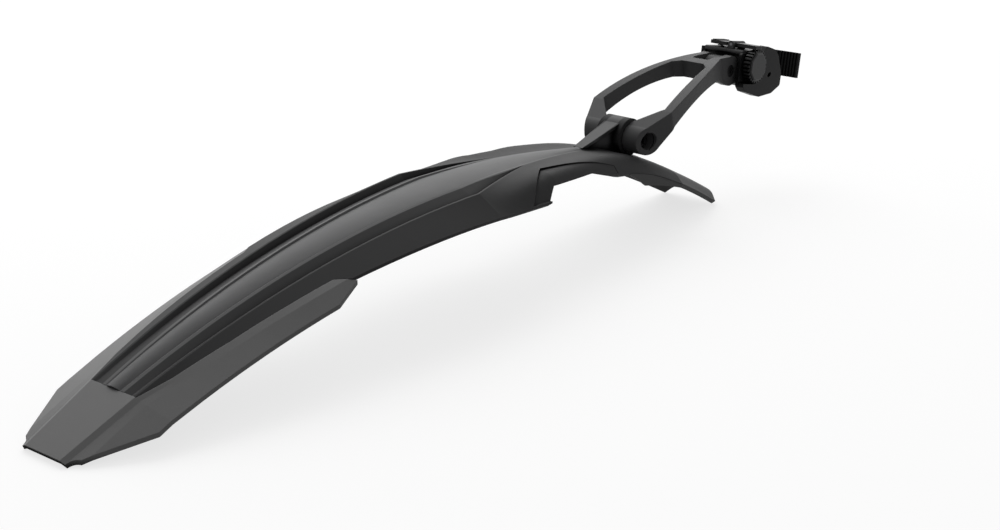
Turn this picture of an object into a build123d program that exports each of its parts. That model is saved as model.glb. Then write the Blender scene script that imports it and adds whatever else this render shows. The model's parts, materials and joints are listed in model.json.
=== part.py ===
from build123d import *
import os
from math import acos, atan2, cos, degrees, pi, radians, sin

# Seatpost mudguard: an arched blade with moulded flaps, hung from a looped arm on a strap clamp.
# Lengths are millimetres and angles degrees. While it is modelled the origin is the crown of the
# blade's arch, +X runs towards the clamp, +Y across the blade and +Z up.

# Blade: distances along it are counted from the crown, negative towards the tail
ARCH_R = 733.0
TAIL_AT = -319.5
SHELL_TAIL = -271.0
GROOVE_END = -22.0
ARROW_TIP = 42.0
WAIST_AT = 110.0
BEND_END = 168.0
BEND_R, NOSE_R = 235.0, 900.0
SHELL_NOSE = 198.0
WALL = 2.4

# Blade section: half-widths, and depths below the arch
PANEL_TAIL, PANEL_CROWN, PANEL_ARROW, PANEL_NOSE = 5.3, 14.4, 11.0, 4.0
PANEL_RISE = 1.2
RIM_TAIL, RIM_CROWN = 17.0, 31.5
RIM_TOP = 1.3
RIB_TOP, RIB_RISE = 3.2, 0.9
GROOVE_TAIL, GROOVE_DEPTH = 0.5, 3.2
FLANK_TAIL, FLANK_CROWN, FLANK_ARROW, FLANK_WAIST, FLANK_NOSE = 20.0, 48.5, 46.0, 36.0, 29.5
DEPTH_TAIL, DEPTH_CROWN, DEPTH_ARROW, DEPTH_WAIST, DEPTH_NOSE = 1.5, 11.0, 15.0, 10.0, 9.0
FLANK_BOW, DEPTH_BOW, ARROW_BOW = 1.6, 0.75, 0.6

# Shares of the flank's width and depth at which its shoulder lies
TAIL_SHOULDER, ARROW_SHOULDER, NOSE_SHOULDER = (0.5, 0.5), (0.68, 0.12), (0.62, 0.32)
VALLEY_OUT = 0.72
CREST_INSET, CREST_LIMIT, PLAIN_CREST_LIMIT = 0.9, 0.3, 0.15
RIB_OUT, RIB_IN, RIB_EDGE = 0.6, 0.1, 0.4

# Sunk step and lifted edge at the waist
STEP_RECESS = 1.3
STEP_CORNER_AT, STEP_CORNER_HALF = 43.0, 24.0
STEP_LEG_AT, STEP_LEG_HALF = 10.0, 46.0
STEP_FADE, STEP_FADE_HALF = 0.12, 31.0
WAIST_CUT_AT, WAIST_CUT_RUN = 22.0, 16.0
WAIST_EDGE, WAIST_EDGE_END, WAIST_EDGE_FALL = 8.3, 81.0, 2.9

# Tail flap
BAND_TAIL = 13.5
STRIP_WIDTH, STRIP_DROP = 3.2, 1.6
CREASE_HALF, CREASE_DROP = 24.3, 2.7
CREASE_OUT, CREASE_FALL = 4.5, 1.7
SKIRT_HALF, SKIRT_HALF_END = 40.0, 46.5
SKIRT_DROP_KINK, SKIRT_DROP_END = 7.7, 10.8
KINK_AT = -276.0
ROOT_LIP = 0.5
ROOT_START, ROOT_START_HALF = -250.0, 22.7
ROOT_END, ROOT_END_HALF, ROOT_BOW = -145.0, 34.4, 0.75
WING_END, WING_STEP = -134.0, 19.0
NOTCH_R, NOTCH_TURN = 6.8, 15.0

# Front flap
TIP_HALF = 22.0
TIP_DEPTH = 9.0
TIP_WALL = 3.2
NOSE_SKIRT_START, NOSE_SKIRT_RISE = 124.0, 24.0
NOSE_SKIRT_DROP, NOSE_SKIRT_END_DROP = 7.5, 2.4
SKIRT_INSET, SKIRT_TONGUE = 0.2, 0.08

# Knuckle and gusset that carry the arm
KNUCKLE_AT, KNUCKLE_RISE = 153.5, 10.8
KNUCKLE_R, KNUCKLE_HALF = 12.6, 9.4
GUSSET_FOOT_AT = 112.0
GUSSET_FOOT_HALF, GUSSET_TOP_HALF = 3.4, 6.0
GUSSET_RECESS, GUSSET_RIM, GUSSET_LEAN = 1.6, 2.0, 35.0

# Arm, in its own frame: lower pivot at the origin, upper pivot along +X
ARM_LENGTH = 116.5
ARM_ANGLE = 11.9
BOSS_R, FORK_HALF = 9.4, 24.5
BEND_AT, BEND_TOP, BEND_HALF, BEND_ROUND = 18.0, 14.0, 31.6, 4.0
BEAM_WIDTH, BEAM_DEPTH, BEAM_WAIST, BEAM_BOW = 6.8, 11.0, 9.6, 3.2
HEEL_RUN, NECK_RISE = 2.0, 3.0
LOOP_START, LOOP_CORNER = 2.5, 5.5
ARM_ARCH = 17.0
CLEVIS_R, CLEVIS_HALF, CLEVIS_SLOT_HALF = 10.4, 12.0, 6.4
WEB_AT, WEB_THICK, WEB_LOW = 90.0, 9.0, 2.5
SIDE_GAP = 0.4

# Clamp head, in its own frame: upper pivot at the origin, +X to the seatpost, +Z along it
HEAD_TILT = 10.0
POST_R = 15.8
POST_AT = 57.0
PAD_THICK, PAD_HALF_ANGLE = 1.6, 58.0
LUG_R, LUG_HALF = 9.0, 6.0
HEAD_BACK, HEAD_LOW, HEAD_TOP, HEAD_ROUND = 11.5, -11.0, 14.5, 1.2
HEAD_SLANT, HEAD_SLANT_RISE = 6.0, 2.0
SHELF_OUT, SHELF_THICK = 4.0, 3.0
NEAR_WALL = -15.0
CLAMP_MID = 4.5

# Strap
STRAP_THICK, STRAP_HEIGHT = 3.0, 18.0
STRAP_SLACK = 0.4
STRAP_ROOT = 8.0
STRAP_HUG, STRAP_OPEN_R, STRAP_OPEN = 62.0, 57.0, 29.0
RIB_PITCH, RIB_DEPTH = 2.4, 0.6

# Cover, dial and lock lever
CHANNEL = 3.6
COVER_THICK, COVER_FLOOR, COVER_ROUND = 3.0, 2.0, 2.0
COVER_OUTLINE = ((3.5, -10.0), (7.5, -13.5), (26.0, -17.0), (42.3, -14.6), (52.8, -9.0), (52.8, -1.0),
                 (45.0, 13.0), (40.0, 16.5), (29.0, 18.6), (25.0, 14.5), (3.5, 12.5))
WINDOW_AT, WINDOW_HEIGHT, WINDOW_R, WINDOW_SMALL_R, WINDOW_TURN = 36.2, -1.3, 2.4, 1.5, 30.0
DIAL_AT, DIAL_R, DIAL_THICK, DIAL_TEETH, TOOTH_DEPTH = 16.5, 11.5, 5.0, 26, 1.0
CAP_R, CAP_THICK, CAP_SIDES = 10.2, 1.2, 8
LEVER_HALF, LEVER_THICK, THUMB_AT, THUMB_HALF = 5.0, 2.4, 13.0, 8.5
THUMB_RIDGES, RIDGE_WIDTH, RIDGE_HEIGHT = 3, 0.9, 0.6
LEVER_PIN_R, LEVER_PIN_AT = 1.2, -4.0
EAR_R, EAR_THICK, EAR_MID = 2.4, 2.5, 6.7
SPRING_R, SPRING_WIRE, SPRING_TURNS, SPRING_POCKET, SPRING_AT = 2.0, 0.3, 4, 3.0, 9.0

# Fasteners and fits
PIVOT_BOLT_R, PIVOT_HEAD_R, PIVOT_HEAD, PIVOT_KEY = 2.95, 4.9, 5.0, 5.0
PIVOT_NUT_FLATS, PIVOT_NUT = 10.0, 5.0
LOWER_SINK, SINK_CHAMFER = 10.0, 1.0
SMALL_BOLT_R, SMALL_HEAD_R, SMALL_HEAD, SMALL_KEY = 2.45, 4.2, 2.5, 4.0
SMALL_NUT_FLATS, SMALL_NUT = 8.0, 2.5
HEAD_SINK_GAP, KEY_DEPTH = 0.8, 0.6
RUN_FIT = 0.05
WASHER_R, WASHER_THICK, WASHER_THIN = 7.0, 1.2, 0.8
INSERT_R = 3.8


# The blade's spine and cross-sections

def spine(along):
    """Point on the spine at a distance along the blade, and its slope in radians."""
    x, z, slope, start = 0.0, 0.0, 0.0, 0.0
    for end, radius in ((WAIST_AT, ARCH_R), (BEND_END, BEND_R), (along, NOSE_R)):
        turned = slope + (min(along, end) - start) / radius
        x += radius * (sin(turned) - sin(slope))
        z += radius * (cos(turned) - cos(slope))
        slope, start = turned, end
        if along <= end:
            break
    return x, z, slope


def at(along, across, up):
    """Point of the blade: along it, across it and above its arch."""
    x, z, slope = spine(along)
    return Vector(x + up * sin(slope), across, z + up * cos(slope))


def mix(low, high, share):
    return low + (high - low) * share


def mix_pair(low, high, share):
    return mix(low[0], high[0], share), mix(low[1], high[1], share)


def foot_lean(rim, flank, depth, shoulder):
    """Slope of the flank at its foot, in radians below level."""
    return atan2(depth * (1 - shoulder[1]), (flank - rim) * (1 - shoulder[0]))


def level_nose():
    """Distance along the blade at which the nose comes down level with the tail."""
    tail_z = at(TAIL_AT, 0, -STRIP_DROP - WALL).Z
    x, z, slope = spine(BEND_END)
    lean = foot_lean(PANEL_NOSE + 2 * RIM_TOP, TIP_HALF, TIP_DEPTH, NOSE_SHOULDER)
    lowest = TIP_DEPTH + TIP_WALL * cos(lean)
    level = (tail_z - z + NOSE_R * cos(slope)) / (NOSE_R - lowest)
    return BEND_END + NOSE_R * (acos(level) - slope)


NOSE_TIP = level_nose()


def stations(first, last, count):
    return [mix(first, last, i / (count - 1)) for i in range(count)]


def sizes(along):
    """Panel, rim, rib, groove, flank and shoulder sizes of the blade's section."""
    if along <= GROOVE_END:
        back = (GROOVE_END - along) / (GROOVE_END - SHELL_TAIL)
        panel = mix(PANEL_CROWN, PANEL_TAIL, back)
        rim = mix(RIM_CROWN, RIM_TAIL, back)
        groove = mix(GROOVE_DEPTH, GROOVE_TAIL, back ** 2)
        rib = RIB_RISE * groove / GROOVE_DEPTH
        flank = mix(FLANK_CROWN, FLANK_TAIL, back ** FLANK_BOW)
        depth = mix(DEPTH_CROWN, DEPTH_TAIL, back ** DEPTH_BOW)
        return panel, rim, rib, groove, flank, depth, TAIL_SHOULDER
    if along <= ARROW_TIP:
        on = (along - GROOVE_END) / (ARROW_TIP - GROOVE_END)
        panel = mix(PANEL_CROWN, PANEL_ARROW, on)
        rim = mix(RIM_CROWN, PANEL_ARROW + 2 * RIM_TOP, on)
        groove = mix(GROOVE_DEPTH, GROOVE_TAIL, on)
        rib = mix(RIB_RISE, 0.0, on)
        flank = mix(FLANK_CROWN, FLANK_ARROW, on)
        depth = mix(DEPTH_CROWN, DEPTH_ARROW, on ** ARROW_BOW)
        return panel, rim, rib, groove, flank, depth, mix_pair(TAIL_SHOULDER, ARROW_SHOULDER, on)
    if along <= WAIST_AT:
        on = (along - ARROW_TIP) / (WAIST_AT - ARROW_TIP)
        panel = mix(PANEL_ARROW, PANEL_NOSE, on)
        flank = mix(FLANK_ARROW, FLANK_WAIST, on)
        depth = mix(DEPTH_ARROW, DEPTH_WAIST, on)
        return panel, panel + 2 * RIM_TOP, 0.0, 0.0, flank, depth, ARROW_SHOULDER
    on = (along - WAIST_AT) / (SHELL_NOSE - WAIST_AT)
    flank = mix(FLANK_WAIST, FLANK_NOSE, on)
    depth = mix(DEPTH_WAIST, DEPTH_NOSE, on)
    shoulder = mix_pair(ARROW_SHOULDER, NOSE_SHOULDER, min(1.0, on))
    if along > SHELL_NOSE:
        on = (along - SHELL_NOSE) / (NOSE_TIP - SHELL_NOSE)
        flank = mix(FLANK_NOSE, TIP_HALF, on)
        depth = mix(DEPTH_NOSE, TIP_DEPTH, on)
    return PANEL_NOSE, PANEL_NOSE + 2 * RIM_TOP, 0.0, 0.0, flank, depth, shoulder


def half_outline(along, inset, grooved):
    """Half-section from the flank's foot to the panel's edge, pressed in by inset."""
    panel, rim, rib, groove, flank, depth, shoulder = sizes(along)
    valley = mix(panel + RIB_TOP, rim - RIM_TOP, VALLEY_OUT)
    near_crest = mix(valley, rim, CREST_LIMIT) if grooved else mix(panel, rim, PLAIN_CREST_LIMIT)
    crest = (max(rim - CREST_INSET * inset, near_crest), -inset)
    lean = foot_lean(rim, flank, depth, shoulder)
    foot = (flank - inset * sin(lean), -depth - inset * cos(lean))
    brow = (mix(crest[0], foot[0], shoulder[0]), mix(crest[1], foot[1], shoulder[1]))
    if not grooved:
        return foot, brow, crest, [(panel, -inset)]
    if inset:
        return foot, brow, crest, [(valley, -groove - inset), (panel, -inset)]
    inner = [(rim - RIM_TOP, 0.0), (valley, -groove),
             (min(panel + RIB_TOP, mix(panel, valley, RIB_OUT)), rib * RIB_EDGE),
             (mix(panel, valley, RIB_IN), rib), (panel, 0.0)]
    return foot, brow, crest, inner


def mirrored(points):
    return [(-y, d) for y, d in reversed(points)]


def bent_line(points):
    """Curve through three points that leaves along its first leg and arrives along its last."""
    first, middle, last = points
    return Spline(first, middle, last, tangents=[middle - first, last - middle])


def skin_edges(along, foot, brow, crest, inner):
    """Edges of the outer or inner skin, from the near foot to the far foot."""
    left = [(-y, d) for y, d in (foot, brow, crest)]
    edges = [bent_line([at(along, y, d) for y, d in left])]
    run = [left[2]] + [(-y, d) for y, d in inner]
    edges += [Line(at(along, *a), at(along, *b)) for a, b in zip(run, run[1:])]
    panel, level = inner[-1]
    edges.append(ThreePointArc(at(along, -panel, level), at(along, 0, level + PANEL_RISE),
                               at(along, panel, level)))
    run = mirrored(run)
    edges += [Line(at(along, *a), at(along, *b)) for a, b in zip(run, run[1:])]
    edges.append(bent_line([at(along, y, d) for y, d in mirrored(left)]))
    return edges


def shell_section(along, grooved, wall=WALL):
    """Closed wire of the thin wall at one station."""
    outer = half_outline(along, 0.0, grooved)
    inner = half_outline(along, wall, grooved)
    edges = skin_edges(along, *outer) + skin_edges(along, *inner)
    for hand in (-1, 1):
        ends = [at(along, hand * y, d) for y, d in (outer[0], inner[0])]
        edges.append(Line(*ends))
    return Wire(edges)


def skin_section(along, inset):
    """Closed wire of the plain outer skin, pressed in by inset and closed straight across its feet."""
    outer = half_outline(along, inset, False)
    foot = outer[0]
    edges = skin_edges(along, *outer)
    edges.append(Line(at(along, -foot[0], foot[1]), at(along, foot[0], foot[1])))
    return Wire(edges)


def blade_loft(first, last, count, section):
    return Solid.make_loft([section(along) for along in stations(first, last, count)])


# General helpers

def side_prism(points, half):
    """Prism of a side-view outline, from -half to +half across the blade."""
    return extrude(Plane.XZ * make_face(Polyline(*points, close=True)), half, both=True)


def slab(sketch, near, far):
    """Side-view sketch given a thickness from y = near to y = far."""
    return Pos(0, (near + far) / 2, 0) * extrude(Plane.XZ * sketch, abs(far - near) / 2, both=True)


def rod(radius, near, far, x=0.0, z=0.0):
    """Cylinder across the blade from y = near to y = far."""
    return Pos(x, (near + far) / 2, z) * Cylinder(radius, abs(far - near), rotation=(90, 0, 0))


def hexagon(flats):
    return RegularPolygon(flats / 2, 6, major_radius=False)


def socket_bolt(radius, head_radius, head, length, key):
    """Cap screw along +Y with its seat at the origin and its head on the -Y side."""
    screw = rod(radius, 0, length) + rod(head_radius, -head, 0)
    return screw - slab(hexagon(key), -head, head * (KEY_DEPTH - 1))


def hex_nut(flats, thick, bore):
    """Nut along +Y with its seat at the origin."""
    return slab(hexagon(flats), 0, thick) - rod(bore, 0, thick)


def sector(centre, inner, outer, start, end):
    """Ring segment in plan, between two angles."""
    def spot(radius, angle):
        return (centre[0] + radius * cos(radians(angle)), centre[1] + radius * sin(radians(angle)))

    middle = (start + end) / 2
    return make_face([
        ThreePointArc(spot(outer, start), spot(outer, middle), spot(outer, end)),
        Line(spot(outer, end), spot(inner, end)),
        ThreePointArc(spot(inner, end), spot(inner, middle), spot(inner, start)),
        Line(spot(inner, start), spot(outer, start)),
    ])


# Blade shell

def knuckle_place():
    return at(KNUCKLE_AT, 0, KNUCKLE_RISE)


def gusset():
    """Wedge that runs up the blade into the knuckle, with a sunk panel in each side."""
    pivot = knuckle_place()
    lean = radians(GUSSET_LEAN)
    top = (pivot.X - KNUCKLE_R * sin(lean), pivot.Z + KNUCKLE_R * cos(lean))
    foot = at(GUSSET_FOOT_AT, 0, PANEL_RISE)
    heel = at(GUSSET_FOOT_AT, 0, -WALL / 2)
    root = at(KNUCKLE_AT, 0, -WALL / 2)
    outline = [(foot.X, foot.Z), top, (pivot.X, pivot.Z), (root.X, root.Z), (heel.X, heel.Z)]
    side = side_prism(outline, FORK_HALF)

    def wedge(less):
        plan = [(foot.X, GUSSET_FOOT_HALF - less), (top[0], GUSSET_TOP_HALF - less),
                (pivot.X, GUSSET_TOP_HALF - less)]
        face = make_face(Polyline(*plan, *[(x, -y) for x, y in reversed(plan)], close=True))
        return extrude(face, 2 * ARCH_R, both=True)

    sunk = offset(make_face(Polyline(*outline, close=True)), -GUSSET_RIM)
    pocket = slab(sunk, -FORK_HALF, FORK_HALF) - wedge(GUSSET_RECESS)
    return (side & wedge(0.0)) - pocket


def step_recess():
    """Sunk area on the near side of the waist, fading out towards the nose."""
    corner = (spine(STEP_CORNER_AT)[0], STEP_CORNER_HALF)
    leg = (spine(STEP_LEG_AT)[0], STEP_LEG_HALF)
    fade = (spine(WAIST_AT)[0], STEP_FADE_HALF)
    reach = 2 * FLANK_CROWN
    outline = [(x, -y) for x, y in (leg, corner, fade, (fade[0], reach), (leg[0], reach))]
    area = extrude(make_face(Polyline(*outline, close=True)), ARCH_R, both=True)

    def over(along):
        return skin_section(along, -WALL / 2)

    def sunk(along):
        fading = min(1.0, (WAIST_AT - along) / (WAIST_AT - ARROW_TIP))
        return skin_section(along, STEP_RECESS * mix(STEP_FADE, 1.0, fading))

    recess = Part()
    for first, last in ((GROOVE_END, ARROW_TIP), (ARROW_TIP, WAIST_AT)):
        layer = Part() + blade_loft(first, last, 4, over) - blade_loft(first, last, 4, sunk)
        recess += layer & area
    return recess


def waist_cut():
    """Side-view cut that lifts the lower edge of the blade at its waist."""
    front = at(WAIST_AT + 2 * WALL, 0, -DEPTH_WAIST - WALL)
    start = spine(WAIST_CUT_AT)
    area = [(start[0], start[1] - DEPTH_ARROW - WALL), (start[0] + WAIST_CUT_RUN, -WAIST_EDGE),
            (WAIST_EDGE_END, -WAIST_EDGE - WAIST_EDGE_FALL), (front.X, front.Z), (front.X, -ARCH_R),
            (start[0], -ARCH_R)]
    return side_prism(area, 2 * FLANK_CROWN)


def blade_shell():
    shell = blade_loft(SHELL_TAIL, GROOVE_END, 6, lambda along: shell_section(along, True))
    shell = shell.fuse(
        blade_loft(GROOVE_END, ARROW_TIP, 4, lambda along: shell_section(along, True)),
        blade_loft(ARROW_TIP, WAIST_AT, 4, lambda along: shell_section(along, False)),
        blade_loft(WAIST_AT, SHELL_NOSE, 5, lambda along: shell_section(along, False)))
    wing = wing_region(True)
    shell = Part(shell.wrapped) - [wing, mirror(wing, Plane.XZ)]
    step = step_recess()
    shell -= [waist_cut(), step, mirror(step, Plane.XZ)]
    pivot = knuckle_place()
    shell += gusset()
    shell += rod(KNUCKLE_R, -KNUCKLE_HALF, KNUCKLE_HALF, pivot.X, pivot.Z)
    return shell - rod(PIVOT_BOLT_R + RUN_FIT, -FORK_HALF, FORK_HALF, pivot.X, pivot.Z)


# Flaps

def across_section(along, half_points, wall):
    """Closed wire of a bent strip that is alike on both sides, given from its edge to its middle."""
    outer = [(-y, d) for y, d in half_points]
    outer += mirrored(outer)
    inner = [(y, d - wall) for y, d in reversed(outer)]
    return Wire.make_polygon([at(along, y, d) for y, d in outer + inner], close=True)


def tail_strip(along):
    """Section of the flap behind the shell: flat band, two creased strips and the skirts."""
    on = (along - TAIL_AT) / (SHELL_TAIL - TAIL_AT)
    band = mix(BAND_TAIL, RIM_TAIL, on)
    points = [(SKIRT_HALF, -SKIRT_DROP_KINK), (CREASE_HALF, -CREASE_DROP),
              (band + STRIP_WIDTH, -STRIP_DROP), (band, 0.0)]
    return across_section(along, points, WALL)


def wing_root(along):
    """Half-width at which the wing leaves the flank."""
    if along < ROOT_START:
        return mix(RIM_TAIL + ROOT_LIP, ROOT_START_HALF, (along - SHELL_TAIL) / (ROOT_START - SHELL_TAIL))
    return mix(ROOT_START_HALF, ROOT_END_HALF, ((along - ROOT_START) / (ROOT_END - ROOT_START)) ** ROOT_BOW)


def wing_region(whole):
    """Plan-view prism outside the near wing's root, whole or with its front end cut back aslant."""
    root = [(spine(along)[0], wing_root(along)) for along in (SHELL_TAIL, *stations(ROOT_START, ROOT_END, 4))]
    tip = (spine(WING_END)[0], sizes(WING_END)[4] + WALL / 2)
    reach = 2 * SKIRT_HALF_END
    corner = (spine(WING_END - WING_STEP)[0], SKIRT_HALF_END)
    front = [tip, (tip[0], reach)] if whole else [tip, corner, (corner[0], reach)]
    outline = [(x, -y) for x, y in (*root, *front, (root[0][0], reach))]
    return extrude(make_face(Polyline(*outline, close=True)), ARCH_R, both=True)


def wing_section(along):
    """Section of the near wing: it leaves the flank, falls over a ridge and a crease to the skirt."""
    rim, flank, depth = (sizes(along)[i] for i in (1, 4, 5))
    slope = depth / (flank - rim)
    on = (along - SHELL_TAIL) / (WING_END - WING_STEP - SHELL_TAIL)
    rising = min(1.0, (along - SHELL_TAIL) / (ROOT_START - SHELL_TAIL))
    half = wing_root(min(along, ROOT_END))
    start = (half - WALL, slope * (rim - half + WALL))
    root = (half, slope * (rim - half))
    crease = (mix(CREASE_HALF, half + CREASE_OUT, rising), mix(-CREASE_DROP, root[1] - CREASE_FALL, rising))
    ridge = (mix(RIM_TAIL + STRIP_WIDTH, (root[0] + crease[0]) / 2, rising),
             mix(-STRIP_DROP, (root[1] + crease[1]) / 2, rising))
    edge = (mix(SKIRT_HALF, SKIRT_HALF_END, on), -mix(SKIRT_DROP_KINK, SKIRT_DROP_END, on))
    outer = [start, root, ridge, crease, edge]
    inner = [(y, d - WALL) for y, d in reversed(outer)]
    return Wire.make_polygon([at(along, -y, d) for y, d in outer + inner], close=True)


def tail_corner_cut():
    """Plan-view cut that tapers the near side of the flap to the tail and scoops a notch beside the band."""
    tail = spine(TAIL_AT)[0]
    kink = spine(KINK_AT)[0]
    scoop = (tail, -BAND_TAIL - STRIP_WIDTH - NOTCH_R)
    turn = radians(NOTCH_TURN)
    lip = (scoop[0] + NOTCH_R * cos(turn), scoop[1] + NOTCH_R * sin(turn))
    edge = [(tail - NOTCH_R, scoop[1]), scoop, lip, (kink, -SKIRT_HALF),
            (kink, -2 * SKIRT_HALF), (tail - NOTCH_R, -2 * SKIRT_HALF)]
    plan = make_face(Polyline(*edge, close=True)) + Pos(*scoop) * Circle(NOTCH_R)
    return extrude(plan, ARCH_R, both=True)


def tail_flap():
    flap = Part() + Solid.make_loft([tail_strip(TAIL_AT), tail_strip(SHELL_TAIL)], ruled=True)
    wing = Part() + Solid.make_loft([wing_section(along) for along in (SHELL_TAIL, ROOT_START)], ruled=True)
    wing += Solid.make_loft([wing_section(along) for along in stations(ROOT_START, WING_END, 5)])
    wing &= wing_region(False)
    corner = tail_corner_cut()
    flap += [wing, mirror(wing, Plane.XZ)]
    return flap - [corner, mirror(corner, Plane.XZ)]


def nose_skirt(along):
    """Section of the short skirt under the near edge of the nose, let into the foot of the wall."""
    foot, brow = half_outline(along, 0.0, False)[:2]
    heel, inner_brow = half_outline(along, WALL, False)[:2]
    full = NOSE_SKIRT_START + NOSE_SKIRT_RISE
    drop = mix(NOSE_SKIRT_DROP, NOSE_SKIRT_END_DROP, (along - full) / (SHELL_NOSE - full))
    if along < full:
        drop = mix(WALL / 4, NOSE_SKIRT_DROP, (along - NOSE_SKIRT_START) / NOSE_SKIRT_RISE)
    near = mix_pair(foot, heel, SKIRT_INSET)
    far = mix_pair(heel, foot, SKIRT_INSET)
    low = near[1] - drop
    corners = [mix_pair(near, brow, SKIRT_TONGUE), near, (near[0], low), (far[0], low), far,
               mix_pair(far, inner_brow, SKIRT_TONGUE)]
    return Wire.make_polygon([at(along, -y, d) for y, d in corners], close=True)


def front_flap(shell):
    nose = blade_loft(SHELL_NOSE, NOSE_TIP, 4, lambda along: shell_section(along, False, TIP_WALL))
    flap = Part() + nose
    ends = (NOSE_SKIRT_START, NOSE_SKIRT_START + NOSE_SKIRT_RISE, SHELL_NOSE, SHELL_NOSE + 2 * WALL)
    skirt = Part()
    for first, last in zip(ends, ends[1:]):
        skirt += blade_loft(first, last, 3, nose_skirt)
    skirt = (skirt - shell).solids().sort_by(SortBy.VOLUME)[-1]
    return flap + [skirt, mirror(skirt, Plane.XZ)]


# Arm, in its own frame

def arm_side():
    """Side view of the arm: two round ends joined by an arched beam."""
    foot = BEND_TOP - BEAM_DEPTH
    lean = radians(45)
    boss_low = (BOSS_R * sin(lean), -BOSS_R * cos(lean))
    heel = (BEND_AT + HEEL_RUN, foot)
    bend = (BEND_AT, BEND_TOP)
    neck = (ARM_LENGTH - CLEVIS_R, CLEVIS_R + NECK_RISE)
    clevis_top = (ARM_LENGTH, CLEVIS_R)
    clevis_low = (ARM_LENGTH - CLEVIS_R * sin(lean), -CLEVIS_R * cos(lean))
    web = (WEB_AT + WEB_THICK / 3, WEB_LOW)
    beam = make_face([
        Line((0, BOSS_R), bend),
        ThreePointArc(bend, ((BEND_AT + neck[0]) / 2, ARM_ARCH), neck),
        Line(neck, clevis_top),
        Line(clevis_top, clevis_low),
        Line(clevis_low, web),
        ThreePointArc(web, ((BEND_AT + WEB_AT) / 2, ARM_ARCH - BEAM_WAIST), heel),
        Line(heel, boss_low),
        Line(boss_low, (0, BOSS_R)),
    ])
    return beam + Circle(BOSS_R) + Pos(ARM_LENGTH, 0) * Circle(CLEVIS_R)


def arm_plan():
    """Plan view of the arm: a fork that flares to a bend, bows back in and closes to a clevis."""
    back = -2 * BOSS_R
    front = ARM_LENGTH + 2 * CLEVIS_R
    neck = ARM_LENGTH - CLEVIS_R
    inside = KNUCKLE_HALF + SIDE_GAP
    flare = (BEND_HALF - FORK_HALF) / BEND_AT
    middle = (BEND_AT + neck) / 2
    bow = (BEND_HALF + CLEVIS_HALF) / 2 + BEAM_BOW

    def side(bend, top, neck_end, ends):
        """Both-sided outline of a straight run, a bowed beam and a straight run."""
        first, last = ends
        upper = [Line(first, bend), ThreePointArc(bend, top, neck_end), Line(neck_end, last)]
        lower = [edge.mirror(Plane.XZ) for edge in upper]
        return make_face(upper + lower + [Line(p, (p[0], -p[1])) for p in ends])

    outer = side((BEND_AT, BEND_HALF), (middle, bow), (neck, CLEVIS_HALF),
                 ((back, FORK_HALF + flare * back), (front, CLEVIS_HALF)))
    loop_end = WEB_AT - LOOP_CORNER
    web_half = CLEVIS_HALF - BEAM_WIDTH / 2
    loop = side((BEND_AT + HEEL_RUN, BEND_HALF - BEAM_WIDTH), (middle, bow - BEAM_WIDTH),
                (loop_end, web_half + LOOP_CORNER), ((LOOP_START, inside), (WEB_AT, web_half)))
    gap = Pos((back + LOOP_START) / 2, 0) * Rectangle(LOOP_START - back, 2 * inside)
    slot_length = front - WEB_AT - WEB_THICK
    slot = Pos(front - slot_length / 2, 0) * Rectangle(slot_length, 2 * CLEVIS_SLOT_HALF)
    bends = [corner for corner in outer.vertices() if abs(corner.X - BEND_AT) < SIDE_GAP]
    return fillet(bends, BEND_ROUND) - loop - gap - slot


def support_arm():
    arm = slab(arm_side(), -BEND_HALF, BEND_HALF) & extrude(arm_plan(), 3 * BEND_TOP, both=True)
    reach = 2 * BEND_HALF
    sink_r = PIVOT_HEAD_R + HEAD_SINK_GAP
    floor = FORK_HALF - LOWER_SINK
    arm -= rod(PIVOT_BOLT_R + RUN_FIT, -reach, reach)
    arm -= rod(sink_r, -reach, -floor)
    arm -= slab(hexagon(PIVOT_NUT_FLATS + 2 * RUN_FIT), floor, reach)
    mouth = Cone(sink_r, sink_r + SINK_CHAMFER, SINK_CHAMFER, rotation=(90, 0, 0))
    arm -= Pos(0, -FORK_HALF + SINK_CHAMFER / 2, 0) * mouth
    cheek = CLEVIS_HALF - SMALL_HEAD
    arm -= rod(SMALL_BOLT_R + RUN_FIT, -reach, reach, ARM_LENGTH)
    arm -= rod(SMALL_HEAD_R + RUN_FIT, -reach, -cheek, ARM_LENGTH)
    arm -= Pos(ARM_LENGTH, 0, 0) * slab(hexagon(SMALL_NUT_FLATS + 2 * RUN_FIT), cheek, reach)
    return arm


def lower_pivot_bolt():
    seat = FORK_HALF - LOWER_SINK
    bolt = socket_bolt(PIVOT_BOLT_R, PIVOT_HEAD_R, PIVOT_HEAD, 2 * seat + PIVOT_NUT, PIVOT_KEY)
    return Pos(0, -seat, 0) * bolt


def lower_pivot_nut():
    return Pos(0, FORK_HALF - LOWER_SINK, 0) * hex_nut(PIVOT_NUT_FLATS, PIVOT_NUT, PIVOT_BOLT_R + RUN_FIT)


def upper_pivot_bolt():
    seat = CLEVIS_HALF - SMALL_HEAD
    bolt = socket_bolt(SMALL_BOLT_R, SMALL_HEAD_R, SMALL_HEAD, 2 * seat + SMALL_NUT, SMALL_KEY)
    return Pos(ARM_LENGTH, -seat, 0) * bolt


def upper_pivot_nut():
    seat = CLEVIS_HALF - SMALL_HEAD
    return Pos(ARM_LENGTH, seat, 0) * hex_nut(SMALL_NUT_FLATS, SMALL_NUT, SMALL_BOLT_R + RUN_FIT)


# Clamp, in the head's own frame

HUG_R = POST_R + STRAP_SLACK + STRAP_THICK / 2
FAR_WALL = POST_R + STRAP_SLACK
SADDLE_R = POST_R + PAD_THICK
HEAD_FRONT = POST_AT - SADDLE_R * cos(radians(PAD_HALF_ANGLE))
COVER_FACE = NEAR_WALL - CHANNEL - COVER_THICK
DIAL_FLOOR = NEAR_WALL - COVER_FLOOR
DIAL_BACK = DIAL_FLOOR - WASHER_THIN - SIDE_GAP
DIAL_FACE = DIAL_BACK - DIAL_THICK
LEVER_LOW = CLAMP_MID + DIAL_R + SIDE_GAP
PIN_HEIGHT = LEVER_LOW + LEVER_THICK / 2


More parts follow.
